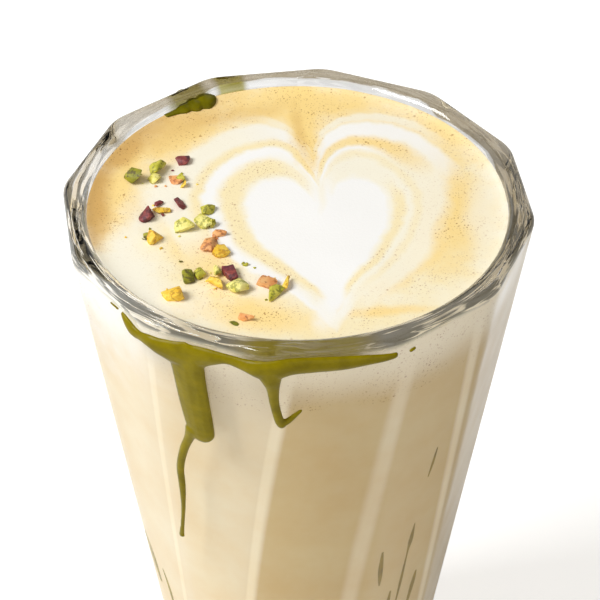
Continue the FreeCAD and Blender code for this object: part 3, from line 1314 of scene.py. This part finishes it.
@dataclass
class Drink:
    """What fills the glass: coffee below, foam on top. Both reach just into the wall."""

    form: GlassForm
    surface: float
    foam_bottom: float
    reach_in: float = 0.0001
    meniscus: float = 0.0007
    meniscus_width: float = 0.0015
    swell: float = 0.00012
    swell_scale: float = 90.0
    around: int = 240
    across: int = 90
    crowding: float = 0.8
    down: int = 24
    floor_share: float = 0.5
    bend_steps: int = 8
    foam: bpy.types.Object | None = None
    latte: bpy.types.Object | None = None

    def ring(self, reach: float, height: Callable[[float, float], float]) -> list[Vector]:
        """Round ring whose height follows a function of x and y.

        Args:
            reach: Distance from the axis.
            height: Height for an x and a y.

        Returns:
            The ring's points.
        """
        points = []
        for index in range(self.around):
            angle = 2 * math.pi * index / self.around
            east, north = reach * math.cos(angle), reach * math.sin(angle)
            points.append(Vector((east, north, height(east, north))))
        return points

    def top_height(self, east: float, north: float) -> float:
        """Height of the foam's surface, with its meniscus and gentle swell.

        Args:
            east: x of the place.
            north: y of the place.

        Returns:
            Height above the base.
        """
        wall = self.form.bore(self.surface)
        gap = max(0.0, wall - math.hypot(east, north))
        climb = self.meniscus * math.exp(-gap / self.meniscus_width)
        swell = self.swell * noise.noise(Vector((east, north, 0.0)) * self.swell_scale)
        return self.surface + climb + swell

    def build_foam(self) -> None:
        """Build the foam, from the middle of its top down to its lower face."""
        form, into = self.form, self.reach_in
        brim = self.surface + self.meniscus
        wall = form.bore(brim) + into
        rings = []
        for step in range(1, self.across + 1):
            share = (step / self.across) ** self.crowding
            rings.append(self.ring(wall * share, self.top_height))
        for step in range(1, self.down + 1):
            height = brim + (self.foam_bottom - brim) * step / self.down
            rings.append(self.ring(form.bore(height) + into, lambda east, north, level=height: level))
        self.foam = rings_to_object("foam", rings[::-1])
        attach(self.foam, "root")
        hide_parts("milk_foam")

    def build_latte(self) -> None:
        """Build the coffee, from the middle of the bore's floor up to the foam."""
        form, into = self.form, self.reach_in
        floor, bend = form.base_thickness, form.floor_round
        low = floor - into
        rings = [self.ring(form.bore(floor) * self.floor_share, lambda east, north: low)]
        for step in range(self.bend_steps + 1):
            turn = step / self.bend_steps * math.pi / 2
            height = low + (bend + into) * (1 - math.cos(turn))
            reach = form.bore(floor + bend) + into - bend * (1 - math.sin(turn))
            rings.append(self.ring(reach, lambda east, north, level=height: level))
        for step in range(1, self.down + 1):
            height = floor + bend + (self.foam_bottom - floor - bend) * step / self.down
            rings.append(self.ring(form.bore(height) + into, lambda east, north, level=height: level))
        self.latte = rings_to_object("coffee", rings)
        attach(self.latte, "root")
        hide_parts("latte")

    def build(self) -> None:
        """Build the foam and the coffee."""
        self.build_foam()
        self.build_latte()

    def dress(self, effects: Effects) -> None:
        """Give the foam and the coffee their finishes.

        Args:
            effects: Shared node groups.
        """
        foam = FoamFinish(surface=self.surface, bottom=self.foam_bottom).build(effects)
        self.foam.data.materials.append(foam)
        self.latte.data.materials.append(LatteFinish(top=self.foam_bottom).build(effects))


# ---------------------------------------------------------------- nuts


class NutKind(Enum):
    """Kinds of chopped pistachio: main colour, second colour and skin colour."""

    LEAF = (srgb(170, 168, 22), srgb(218, 208, 88), srgb(88, 88, 10))
    MOSS = (srgb(98, 102, 10), srgb(166, 160, 34), srgb(58, 34, 26))
    STRAW = (srgb(242, 188, 30), srgb(250, 222, 98), srgb(176, 116, 26))
    PALE = (srgb(214, 204, 76), srgb(248, 238, 154), srgb(122, 124, 18))
    TOAST = (srgb(226, 144, 76), srgb(244, 190, 126), srgb(146, 78, 40))
    PLUM = (srgb(88, 22, 42), srgb(160, 74, 64), srgb(44, 12, 28))


@dataclass(frozen=True)
class Nut:
    """One chopped piece: kind, place, length, width in millimetres and turn in degrees."""

    kind: NutKind
    east: float
    north: float
    long: float
    wide: float
    turn: float = 0.0


@dataclass(frozen=True)
class NutFinish:
    """Cut kernel with uneven colour and shreds of skin; sizes in millimetres."""

    kind: NutKind
    patch_size: float = 1.6
    shred_size: float = 1.1
    shred_edge: tuple[float, float] = (0.6, 1.0)
    shred_share: float = 0.7
    grain_depth: float = 0.00018
    roughness: float = 0.5

    def build(self, effects: Effects) -> bpy.types.Material:
        """Build the material.

        Args:
            effects: Shared node groups.

        Returns:
            The material.
        """
        main, second, skin = self.kind.value
        made, wires, shader = new_material(f"nut_{self.kind.name.lower()}")
        place = wires.position()
        given = {"place": place, "size": self.patch_size, "contrast": 3.0}
        colour = wires.mix(wires.group(effects.mottle, **given).outputs[0], main, second)
        given = {"place": place, "size": self.shred_size, "contrast": 5.0}
        shreds = wires.group(effects.mottle, **given).outputs[0]
        shown = wires.ease(shreds, *self.shred_edge, 0.0, self.shred_share)
        wires.feed(shader.inputs["Base Color"], wires.mix(shown, colour, skin))
        shader.inputs["Roughness"].default_value = self.roughness
        grain = wires.noise(place, 3.2, 3.0, 0.6).outputs["Fac"]
        wires.feed(shader.inputs["Normal"], wires.bump(grain, self.grain_depth, 0.6))
        return made


@dataclass
class NutTopping:
    """Chopped pistachios that lie on the foam, one mesh for each kind.

    A chunk's shape is made at a radius of about 1 and then scaled. `fill` scales its length, its
    width and its thickness, `lumps` is how uneven its faces are, and `sunk` is the share of its
    thickness at which its middle lies above the foam. A crumb lies within about `crumb_reach`
    millimetres of a larger piece.
    """

    surface: float
    seed: int = 7
    corners: tuple[int, int] = (9, 12)
    corner_reach: tuple[float, float] = (0.9, 1.1)
    flat_angle: float = math.radians(12)
    bevel: float = 0.1
    lumps: float = 0.1
    lump_scale: float = 2.6
    thickness: tuple[float, float] = (0.62, 0.85)
    fill: tuple[float, float, float] = (0.62, 0.66, 0.66)
    tip: float = 14.0
    sunk: float = 0.36
    crumbs: int = 46
    crumb_size: tuple[float, float] = (0.35, 0.85)
    crumb_width: float = 0.75
    crumb_reach: float = 1.9
    pieces: list[bpy.types.Object] = field(default_factory=list)
    nuts: tuple[Nut, ...] = (
        Nut(NutKind.PLUM, -22.2, 15.2, 2.7, 2.2, 20),
        Nut(NutKind.MOSS, -30.6, 9.4, 4.3, 3.3, 10),
        Nut(NutKind.LEAF, -27.0, 12.0, 4.0, 2.9, 75),
        Nut(NutKind.PALE, -27.6, 9.2, 2.9, 2.5, 40),
        Nut(NutKind.TOAST, -23.7, 9.0, 3.3, 2.4, 15),
        Nut(NutKind.LEAF, -22.3, 9.6, 2.2, 1.7, 60),
        Nut(NutKind.STRAW, -21.4, 7.2, 2.4, 1.9, 60),
        Nut(NutKind.PLUM, -26.2, 1.4, 1.9, 1.4, 0),
        Nut(NutKind.PLUM, -22.8, 1.2, 3.2, 2.2, -35),
        Nut(NutKind.STRAW, -25.8, -0.5, 3.4, 1.6, 0),
        Nut(NutKind.PLUM, -28.5, -2.4, 3.4, 2.7, 70),
        Nut(NutKind.MOSS, -27.9, -8.6, 2.0, 1.6, 0),
        Nut(NutKind.STRAW, -26.7, -9.2, 3.3, 2.7, 45),
        Nut(NutKind.LEAF, -17.0, -0.6, 3.1, 2.3, 60),
        Nut(NutKind.PALE, -17.6, -4.1, 3.7, 3.1, 100),
        Nut(NutKind.LEAF, -16.2, -4.6, 2.4, 1.8, 50),
        Nut(NutKind.PALE, -21.4, -6.1, 3.9, 3.2, 65),
        Nut(NutKind.TOAST, -14.7, -8.4, 2.8, 2.2, 50),
        Nut(NutKind.TOAST, -16.5, -10.9, 4.8, 2.9, 75),
        Nut(NutKind.STRAW, -14.3, -13.3, 3.2, 2.7, 30),
        Nut(NutKind.LEAF, -9.5, -17.0, 1.2, 0.9, 0),
        Nut(NutKind.MOSS, -20.4, -21.0, 3.6, 3.2, 20),
        Nut(NutKind.LEAF, -17.9, -20.0, 2.6, 2.1, 80),
        Nut(NutKind.PALE, -15.6, -19.2, 3.6, 2.5, 100),
        Nut(NutKind.PLUM, -12.4, -19.8, 4.0, 2.6, -60),
        Nut(NutKind.STRAW, -15.0, -23.0, 3.4, 3.1, 80),
        Nut(NutKind.PALE, -10.8, -24.0, 4.4, 3.2, -50),
        Nut(NutKind.TOAST, -5.5, -22.8, 4.1, 3.2, 80),
        Nut(NutKind.STRAW, -2.0, -22.7, 3.1, 2.1, 80),
        Nut(NutKind.LEAF, -4.0, -25.8, 3.9, 2.6, 60),
        Nut(NutKind.STRAW, -22.5, -26.2, 3.8, 3.3, 20),
        Nut(NutKind.TOAST, -8.7, -32.3, 3.3, 2.1, 10),
        Nut(NutKind.MOSS, -11.5, -34.2, 1.7, 1.3, 0),
    )

    def chunk(self, nut: Nut, dice: random.Random) -> bmesh.types.BMesh:
        """Cut one angular piece with softened edges.

        Args:
            nut: Kind, place and size of the piece.
            dice: Source of chance.

        Returns:
            The piece's mesh, in metres.
        """
        cut = bmesh.new()
        for _ in range(dice.randint(*self.corners)):
            way = Vector((dice.gauss(0, 1), dice.gauss(0, 1), dice.gauss(0, 0.8))).normalized()
            cut.verts.new(way * dice.uniform(*self.corner_reach))
        hull = bmesh.ops.convex_hull(cut, input=list(cut.verts))
        inside = hull["geom_interior"]
        loose = [corner for corner in inside if isinstance(corner, bmesh.types.BMVert)]
        bmesh.ops.delete(cut, geom=loose, context="VERTS")
        bmesh.ops.dissolve_limit(
            cut, angle_limit=self.flat_angle, verts=list(cut.verts), edges=list(cut.edges)
        )
        bmesh.ops.bevel(
            cut, geom=list(cut.edges), offset=self.bevel, offset_type="OFFSET", segments=2,
            profile=0.5, affect="EDGES", clamp_overlap=True,
        )
        bmesh.ops.triangulate(cut, faces=list(cut.faces))
        bmesh.ops.subdivide_edges(cut, edges=list(cut.edges), cuts=1, use_grid_fill=True)
        offset = Vector((dice.uniform(0, 50), dice.uniform(0, 50), 0))
        for corner in cut.verts:
            corner.co *= 1 + self.lumps * noise.noise(corner.co * self.lump_scale + offset)
        thick = nut.wide * dice.uniform(*self.thickness)
        along, across, upwards = self.fill
        size = Matrix.Diagonal((nut.long * along, nut.wide * across, thick * upwards, 1.0))
        tip = Matrix.Rotation(math.radians(dice.uniform(-self.tip, self.tip)), 4, "X")
        turn = Matrix.Rotation(math.radians(nut.turn), 4, "Z")
        lift = self.surface / MM + thick * self.sunk
        place = Matrix.Translation((nut.east, nut.north, lift))
        cut.transform(Matrix.Scale(MM, 4) @ place @ turn @ tip @ size)
        return cut

    def scatter_crumbs(self, dice: random.Random) -> list[Nut]:
        """Small crumbs that fell round the chopped pieces.

        Args:
            dice: Source of chance.

        Returns:
            The crumbs.
        """
        made = []
        for _ in range(self.crumbs):
            near = dice.choice(self.nuts)
            size = dice.uniform(*self.crumb_size)
            east = near.east + dice.gauss(0, self.crumb_reach)
            north = near.north + dice.gauss(0, self.crumb_reach)
            wide = size * self.crumb_width
            made.append(Nut(near.kind, east, north, size, wide, dice.uniform(0, 180)))
        return made

    def build(self) -> None:
        """Join the pieces of each kind into one mesh."""
        dice = random.Random(self.seed)
        everything = list(self.nuts) + self.scatter_crumbs(dice)
        for kind in NutKind:
            mesh = bpy.data.meshes.new(f"nuts_{kind.name.lower()}")
            joined = bmesh.new()
            for nut in everything:
                if nut.kind is not kind:
                    continue
                cut = self.chunk(nut, dice)
                single = bpy.data.meshes.new("single")
                cut.to_mesh(single)
                cut.free()
                joined.from_mesh(single)
                bpy.data.meshes.remove(single)
            joined.to_mesh(mesh)
            joined.free()
            mesh.shade_smooth()
            piece = bpy.data.objects.new(mesh.name, mesh)
            bpy.context.scene.collection.objects.link(piece)
            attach(piece, "root")
            self.pieces.append(piece)

    def dress(self, effects: Effects) -> None:
        """Give each kind its finish.

        Args:
            effects: Shared node groups.
        """
        for piece, kind in zip(self.pieces, NutKind):
            piece.data.materials.append(NutFinish(kind).build(effects))


# ---------------------------------------------------------------- sauce


class Side(Enum):
    """Which wall of the glass the sauce clings to."""

    OUTSIDE = "outside"
    BORE = "bore"


@dataclass(frozen=True)
class Run:
    """One run of sauce on the glass, about WALL_REACH millimetres from the axis.

    Each stop is the angle from the front in degrees, the depth below the rim and half the width,
    both in millimetres. `thick` scales how far it stands out.
    """

    stops: tuple[tuple[float, float, float], ...]
    side: Side = Side.OUTSIDE
    thick: float = 1.0

    def smooth(self, step: float = 0.3) -> list[tuple[float, float, float]]:
        """Points along the run, eased through its stops.

        Args:
            step: Rough spacing in millimetres.

        Returns:
            Angle, depth and half width of each point.
        """
        stops = (self.stops[0], *self.stops, self.stops[-1])
        points = []
        for index in range(1, len(stops) - 2):
            first, second, third, fourth = stops[index - 1 : index + 3]
            arc = math.radians(third[0] - second[0]) * WALL_REACH
            count = max(2, round(math.hypot(arc, third[1] - second[1]) / step))
            for tick in range(count):
                share = tick / count
                points.append(tuple(
                    0.5 * (
                        2 * b + (c - a) * share + (2 * a - 5 * b + 4 * c - d) * share**2
                        + (3 * b - a - 3 * c + d) * share**3
                    )
                    for a, b, c, d in zip(first, second, third, fourth)
                ))
        points.append(self.stops[-1])
        return points


@dataclass(frozen=True)
class SauceFinish:
    """Glossy green pistachio sauce in two greens."""

    name: str = "green_sauce"
    green: Colour = srgb(140, 125, 0)
    deep: Colour = srgb(116, 102, 0)
    gloss: float = 0.1
    roughness: float = 0.3
    patch_size: float = 3.0
    grain_depth: float = 0.0001

    def build(self, effects: Effects) -> bpy.types.Material:
        """Build the material.

        Args:
            effects: Shared node groups.

        Returns:
            The material.
        """
        made, wires, shader = new_material(self.name)
        place = wires.position()
        given = {"place": place, "size": self.patch_size, "contrast": 2.2}
        patch = wires.group(effects.mottle, **given).outputs[0]
        wires.feed(shader.inputs["Base Color"], wires.mix(patch, self.green, self.deep))
        shader.inputs["Roughness"].default_value = self.roughness
        shader.inputs["Specular IOR Level"].default_value = self.gloss
        grain = wires.noise(place, 1.4, 3.0, 0.6).outputs["Fac"]
        wires.feed(shader.inputs["Normal"], wires.bump(grain, self.grain_depth, 0.4))
        return made


@dataclass
class Sauce:
    """Green sauce: runs outside the front, a smear inside the back, streaks in the drink.

    A run stands out by `rise` times its half width and `least` more, up to `most`, in metres.
    `grip` is how near the glass a point must be to be flattened on to it. A streak's middle lies
    `streak_lift` from the bore's wall, less than 0 being outwards, and `streak_thick` is half its
    thickness, both in metres.
    """

    form: GlassForm
    rise: float = 0.55
    least: float = 0.0002
    most: float = 0.0012
    droop: float = -0.15
    voxel: float = 0.00022
    eases: int = 6
    sunk: float = 0.00004
    grip: float = 0.003
    streak_sides: int = 8
    streak_step: float = 0.8
    streak_share: float = 0.75
    streak_lift: float = -0.0002
    streak_thick: float = 0.00006
    runs: tuple[Run, ...] = (
        Run((
            (-46.2, 3.0, 0.6), (-44.6, 4.0, 1.2), (-42.4, 5.1, 1.5), (-39.6, 5.0, 1.2),
            (-36.5, 4.8, 1.7), (-33.5, 5.4, 2.4), (-28.0, 6.0, 3.4), (-22.0, 4.7, 2.2),
            (-17.0, 3.9, 1.3), (-12.0, 4.2, 1.6), (-7.0, 4.6, 2.5), (-2.0, 3.7, 2.2),
            (4.0, 3.8, 2.0), (11.0, 4.0, 1.75), (18.0, 3.8, 1.2), (23.0, 3.6, 0.75),
        )),
        Run((
            (-27.6, 6.0, 3.8), (-27.4, 12.0, 3.5), (-27.0, 19.0, 3.35), (-26.4, 25.6, 3.0),
            (-26.2, 27.0, 2.4),
        )),
        Run((
            (-28.8, 26.5, 1.6), (-30.4, 29.5, 1.05), (-32.6, 33.5, 0.95), (-34.6, 39.0, 0.9),
            (-35.2, 45.0, 0.8), (-36.2, 51.0, 0.55), (-38.0, 57.0, 0.5), (-39.2, 60.2, 0.62),
            (-39.5, 61.2, 0.7),
        )),
        Run((
            (-6.5, 5.0, 2.6), (-5.8, 9.0, 1.4), (-5.5, 13.5, 1.0), (-4.6, 18.0, 0.95),
            (-3.9, 19.6, 0.9),
        )),
        Run(((-3.9, 19.4, 0.85), (-2.4, 18.7, 0.75), (-0.6, 17.3, 0.6), (0.8, 16.2, 0.4))),
        Run(((-51.2, 2.7, 0.28), (-48.4, 2.7, 0.32))),
        Run(((27.6, 4.1, 0.45), (28.6, 4.0, 0.4))),
        Run(((-163.0, 1.9, 0.6), (-161.0, 1.7, 1.0), (-159.4, 1.9, 0.7))),
        Run(((-150.5, 1.9, 0.7), (-148.0, 1.7, 1.1), (-145.5, 2.0, 0.7))),
        Run((
            (-155.2, 1.7, 0.5), (-153.6, 2.1, 1.3), (-152.0, 2.4, 1.7), (-150.2, 2.2, 1.2),
            (-148.6, 2.3, 1.5), (-147.0, 2.0, 0.9), (-145.2, 2.1, 1.0), (-143.0, 2.1, 0.6),
            (-139.0, 1.8, 0.3),
        ), Side.BORE, 2.4),
    )
    streaks: tuple[Run, ...] = (
        Run(((47.8, 40.0, 0.2), (47.2, 44.0, 0.5), (46.2, 48.0, 0.2))),
        Run((
            (44.4, 61.0, 0.15), (44.0, 66.0, 0.75), (43.4, 70.0, 0.3), (43.0, 78.0, 0.5),
            (42.2, 86.0, 0.2),
        )),
        Run(((30.0, 65.0, 0.3), (30.4, 70.0, 0.75), (30.8, 73.5, 0.6), (31.0, 76.0, 0.2))),
        Run(((51.5, 78.0, 0.3), (51.0, 82.0, 0.8), (50.0, 90.0, 0.3))),
        Run(((38.0, 80.0, 0.3), (37.6, 84.0, 0.6), (37.0, 90.0, 0.3))),
        Run(((-84.0, 86.0, 0.3), (-82.0, 92.0, 0.8), (-80.0, 100.0, 0.4))),
        Run(((-66.0, 84.0, 0.3), (-64.0, 90.0, 0.7), (-63.0, 99.0, 0.3))),
        Run(((-73.0, 76.0, 0.2), (-72.0, 82.0, 0.6), (-71.0, 90.0, 0.3))),
    )
    pieces: list[bpy.types.Object] = field(default_factory=list)

    def bead(self, joined: bmesh.types.BMesh, run: Run, stop: tuple[float, float, float]) -> None:
        """Add one flattened drop at a stop of a run.

        Args:
            joined: Mesh that the drop is added to.
            run: The run.
            stop: Angle, depth and half width of the drop.
        """
        angle, depth, half = stop
        turn = math.radians(angle)
        on_wall = self.form.on_outside if run.side is Side.OUTSIDE else self.form.on_bore
        centre = on_wall(turn, depth * MM)
        outward = Vector((math.cos(FRONT + turn), math.sin(FRONT + turn), self.droop)).normalized()
        half *= MM
        thick = min(self.rise * half + self.least, self.most) * run.thick
        basis = outward.to_track_quat("Z", "Y").to_matrix().to_4x4()
        size = Matrix.Diagonal((half, half, thick, 1.0))
        matrix = Matrix.Translation(centre) @ basis @ size
        bmesh.ops.create_icosphere(joined, subdivisions=2, radius=1.0, matrix=matrix)

    def cling(self, piece: bpy.types.Object) -> None:
        """Flatten the back of the outside runs on to the glass.

        Args:
            piece: The outside runs.
        """
        form = self.form
        for corner in piece.data.vertices:
            east, north, height = corner.co
            angle = math.atan2(north, east)
            reach = math.hypot(east, north)
            wall = form.outside(angle, height)
            if abs(reach - wall) < self.grip and reach < wall - self.sunk:
                scale = (wall - self.sunk) / reach
                corner.co = (east * scale, north * scale, height)

    def merge(self, name: str, runs: Iterable[Run]) -> bpy.types.Object:
        """Melt the drops of several runs into one smooth skin.

        Args:
            name: Name of the piece.
            runs: The runs that it holds.

        Returns:
            The piece.
        """
        joined = bmesh.new()
        for run in runs:
            for stop in run.smooth():
                self.bead(joined, run, stop)
        rough = bpy.data.meshes.new(f"{name}_rough")
        joined.to_mesh(rough)
        joined.free()
        piece = bpy.data.objects.new(name, rough)
        bpy.context.scene.collection.objects.link(piece)
        melt = piece.modifiers.new("melt", "REMESH")
        melt.mode = "VOXEL"
        melt.voxel_size = self.voxel
        ease = piece.modifiers.new("ease", "SMOOTH")
        ease.iterations = self.eases
        shown = piece.evaluated_get(bpy.context.evaluated_depsgraph_get())
        smooth = bpy.data.meshes.new_from_object(shown)
        smooth.name = name
        piece.modifiers.clear()
        piece.data = smooth
        smooth.shade_smooth()
        return piece

    def streak_ring(self, stop: tuple[float, float, float]) -> list[Vector]:
        """Thin oval ring of a streak.

        Args:
            stop: Angle, depth and half width of the streak there.

        Returns:
            The ring's points.
        """
        angle, depth, half = stop
        reach = self.form.bore(self.form.height - depth * MM)
        ring = []
        for side in range(self.streak_sides):
            turn = 2 * math.pi * side / self.streak_sides
            across = self.streak_share * half * MM * math.cos(turn) / reach
            lift = self.streak_lift + self.streak_thick * math.sin(turn)
            ring.append(self.form.on_bore(math.radians(angle) + across, depth * MM, lift))
        return ring

    def streak_mesh(self) -> bpy.types.Object:
        """Thin streaks in the skin of the bore's wall, just outside the drink.

        Returns:
            The piece.
        """
        points, faces = [], []
        sides = self.streak_sides
        for run in self.streaks:
            stops = run.smooth(self.streak_step)
            start = len(points)
            for stop in stops:
                points += self.streak_ring(stop)
            for row in range(len(stops) - 1):
                for side in range(sides):
                    low = start + row * sides
                    high = low + sides
                    following = (side + 1) % sides
                    faces.append((low + side, low + following, high + following, high + side))
            last = start + (len(stops) - 1) * sides
            faces.append(tuple(range(start, start + sides))[::-1])
            faces.append(tuple(range(last, last + sides)))
        return make_object("sauce_streaks", points, faces)

    def build(self) -> None:
        """Build the runs, the smear and the streaks."""
        outside = [run for run in self.runs if run.side is Side.OUTSIDE]
        inside = [run for run in self.runs if run.side is Side.BORE]
        dripping = self.merge("sauce_drips", outside)
        self.cling(dripping)
        self.pieces = [dripping, self.merge("sauce_smear", inside), self.streak_mesh()]
        for piece in self.pieces:
            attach(piece, "root")

    def dress(self, effects: Effects) -> None:
        """Give the runs, the smear and the streaks their finishes.

        Args:
            effects: Shared node groups.
        """
        finish = SauceFinish().build(effects)
        thin = SauceFinish("thin_sauce", srgb(184, 160, 0), srgb(140, 120, 0), 0.0).build(effects)
        shaded = SauceFinish("shaded_sauce", srgb(116, 108, 0), srgb(80, 76, 0)).build(effects)
        for piece, made in zip(self.pieces, (finish, shaded, thin)):
            piece.data.materials.append(made)


# ---------------------------------------------------------------- stage


@dataclass(frozen=True)
class Lamp:
    """Square soft lamp that points at the top of the glass.

    `side` is in degrees from the front, positive towards +X, and `rise` in degrees above the
    horizon. The distance and the side of the square are in metres, the power in watts.
    """

    name: str
    side: float
    rise: float
    distance: float
    size: float
    power: float
    colour: Colour = (1.0, 1.0, 1.0)


@dataclass
class Studio:
    """Pale floor, soft light, white surroundings and the camera.

    `lift_to_eye` and `lift_in_glass` are how much the floor shines by itself to the camera and
    through the glass, and `dim` is how strong the surroundings are as light. The glass sees
    `panels` darker upright panels in the surroundings, above a plain low part.
    """

    rim: float
    floor_size: float = 6.0
    floor_colour: Colour = srgb(240, 240, 240)
    floor_roughness: float = 0.7
    floor_sheen: float = 0.1
    elevation: float = 39.2
    distance: float = 0.550
    aim_below_rim: float = 0.0244
    aim_side: float = 0.0005
    focal: float = 169.2
    sensor: float = 36.0
    lift_to_eye: float = 0.56
    lift_in_glass: float = 0.15
    dim: float = 0.31
    warmth: Colour = (1.0, 0.94, 0.84)
    panels: float = 5.0
    panel_edge: tuple[float, float] = (-0.4, 0.3)
    panel_dark: float = 0.08
    low_part: float = 0.9
    low_edge: tuple[float, float] = (0.06, 0.22)
    lamps: tuple[Lamp, ...] = (
        Lamp("key", -72, 44, 1.1, 0.5, 12.3, (0.975, 0.99, 1.0)),
        Lamp("fill", 24, 16, 1.3, 0.9, 2.6),
    )

    @staticmethod
    def through_glass(wires: Wires, path: bpy.types.Node) -> object:
        """Mask of the rays that come by way of the glass.

        Args:
            wires: Wires of the material.
            path: Light path node.

        Returns:
            The mask output.
        """
        kinds = (path.outputs["Is Glossy Ray"], path.outputs["Is Transmission Ray"])
        return wires.math("MAXIMUM", *kinds)

    def build_floor(self) -> None:
        """Lay the floor and mark it as the stage."""
        half = self.floor_size / 2
        around = ((-half, -half), (half, -half), (half, half), (-half, half))
        corners = [Vector((x, y, 0.0)) for x, y in around]
        floor = make_object("floor", corners, [(0, 1, 2, 3)], smooth=False)
        made, wires, shader = new_material("pale_floor")
        shader.inputs["Base Color"].default_value = (*self.floor_colour, 1.0)
        shader.inputs["Roughness"].default_value = self.floor_roughness
        shader.inputs["Specular IOR Level"].default_value = self.floor_sheen
        path = wires.node("ShaderNodeLightPath")
        lift = wires.math("MULTIPLY", self.through_glass(wires, path), self.lift_in_glass)
        lift = wires.math("MULTIPLY_ADD", path.outputs["Is Camera Ray"], self.lift_to_eye, lift)
        wires.feed(shader.inputs["Emission Strength"], lift)
        shader.inputs["Emission Color"].default_value = (1.0, 1.0, 1.0, 1.0)
        floor.data.materials.append(made)

    def build_surroundings(self) -> None:
        """White surroundings to the eye, softer as light."""
        world = bpy.data.worlds.new("surroundings")
        world.use_nodes = True
        bpy.context.scene.world = world
        wires = Wires(world.node_tree)
        ground = world.node_tree.nodes["Background"]
        path = wires.node("ShaderNodeLightPath")
        tone = wires.mix(path.outputs["Is Diffuse Ray"], (1.0, 1.0, 1.0), self.warmth)
        wires.feed(ground.inputs["Color"], tone)
        way = wires.node("ShaderNodeTexCoord").outputs["Generated"]
        east, north, up = wires.split(way)
        round_about = wires.math("MULTIPLY", wires.math("ARCTAN2", east, north), self.panels)
        room = wires.math("SINE", round_about)
        panels = wires.ease(room, *self.panel_edge, self.panel_dark, 1.0)
        high = wires.ease(up, *self.low_edge)
        above = wires.math("SUBTRACT", panels, self.low_part)
        in_glass = wires.math("MULTIPLY_ADD", high, above, self.low_part)
        shown = wires.node("ShaderNodeMix", data_type="FLOAT")
        wires.feed(shown.inputs[0], self.through_glass(wires, path))
        wires.feed(shown.inputs[2], self.dim)
        wires.feed(shown.inputs[3], in_glass)
        white = wires.node("ShaderNodeMix", data_type="FLOAT")
        wires.feed(white.inputs[0], path.outputs["Is Camera Ray"])
        wires.feed(white.inputs[2], shown.outputs[0])
        white.inputs[3].default_value = 1.0
        wires.feed(ground.inputs["Strength"], white.outputs[0])

    def build_lamps(self) -> None:
        """Key from the left, a weak fill from the right."""
        for lamp in self.lamps:
            light = bpy.data.lights.new(lamp.name, "AREA")
            light.color = lamp.colour
            light.size = lamp.size
            light.energy = lamp.power
            made = bpy.data.objects.new(lamp.name, light)
            bpy.context.scene.collection.objects.link(made)
            turn, lift = math.radians(lamp.side), math.radians(lamp.rise)
            level = math.cos(lift)
            out = Vector((math.sin(turn) * level, -math.cos(turn) * level, math.sin(lift)))
            made.location = Vector((0, 0, self.rim)) + out * lamp.distance
            made.rotation_mode = "QUATERNION"
            made.rotation_quaternion = (-out).to_track_quat("-Z", "Y")

    def build_camera(self) -> None:
        """Set up the camera that looks down on the glass from the front."""
        camera = bpy.data.cameras.new("camera")
        camera.sensor_width = self.sensor
        camera.lens = self.focal
        made = bpy.data.objects.new("camera", camera)
        bpy.context.scene.collection.objects.link(made)
        lift = math.radians(self.elevation)
        out = Vector((0.0, -math.cos(lift), math.sin(lift)))
        aim = Vector((self.aim_side, 0.0, self.rim - self.aim_below_rim))
        made.location = aim + out * self.distance
        made.rotation_mode = "QUATERNION"
        made.rotation_quaternion = (-out).to_track_quat("-Z", "Y")
        bpy.context.scene.camera = made

    def build(self) -> None:
        """Build the whole stage."""
        bpy.context.scene.view_settings.view_transform = "Standard"
        self.build_floor()
        self.build_surroundings()
        self.build_lamps()
        self.build_camera()


def main() -> None:
    """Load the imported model, build every sub-assembly in order and report each piece."""
    logging.basicConfig(level=logging.INFO, format="%(name)s: %(message)s")
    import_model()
    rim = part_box("glass")[1].z
    foam_low, foam_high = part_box("milk_foam")

    effects = Effects.build()
    form = GlassForm(height=rim)
    Studio(rim=rim).build()
    drink = Drink(form=form, surface=foam_high.z, foam_bottom=foam_low.z)
    drink.build()
    drink.dress(effects)
    LOG.info("drink: %s and %s", drink.foam.name, drink.latte.name)
    tumbler = Tumbler(form=form)
    tumbler.build()
    tumbler.dress()
    LOG.info("glass: %s", ", ".join(piece.name for piece in tumbler.pieces))
    topping = NutTopping(surface=foam_high.z)
    topping.build()
    topping.dress(effects)
    LOG.info("nuts: %s", ", ".join(piece.name for piece in topping.pieces))
    sauce = Sauce(form=form)
    sauce.build()
    sauce.dress(effects)
    LOG.info("sauce: %s", ", ".join(piece.name for piece in sauce.pieces))

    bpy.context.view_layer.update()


if __name__ == "__main__":
    main()
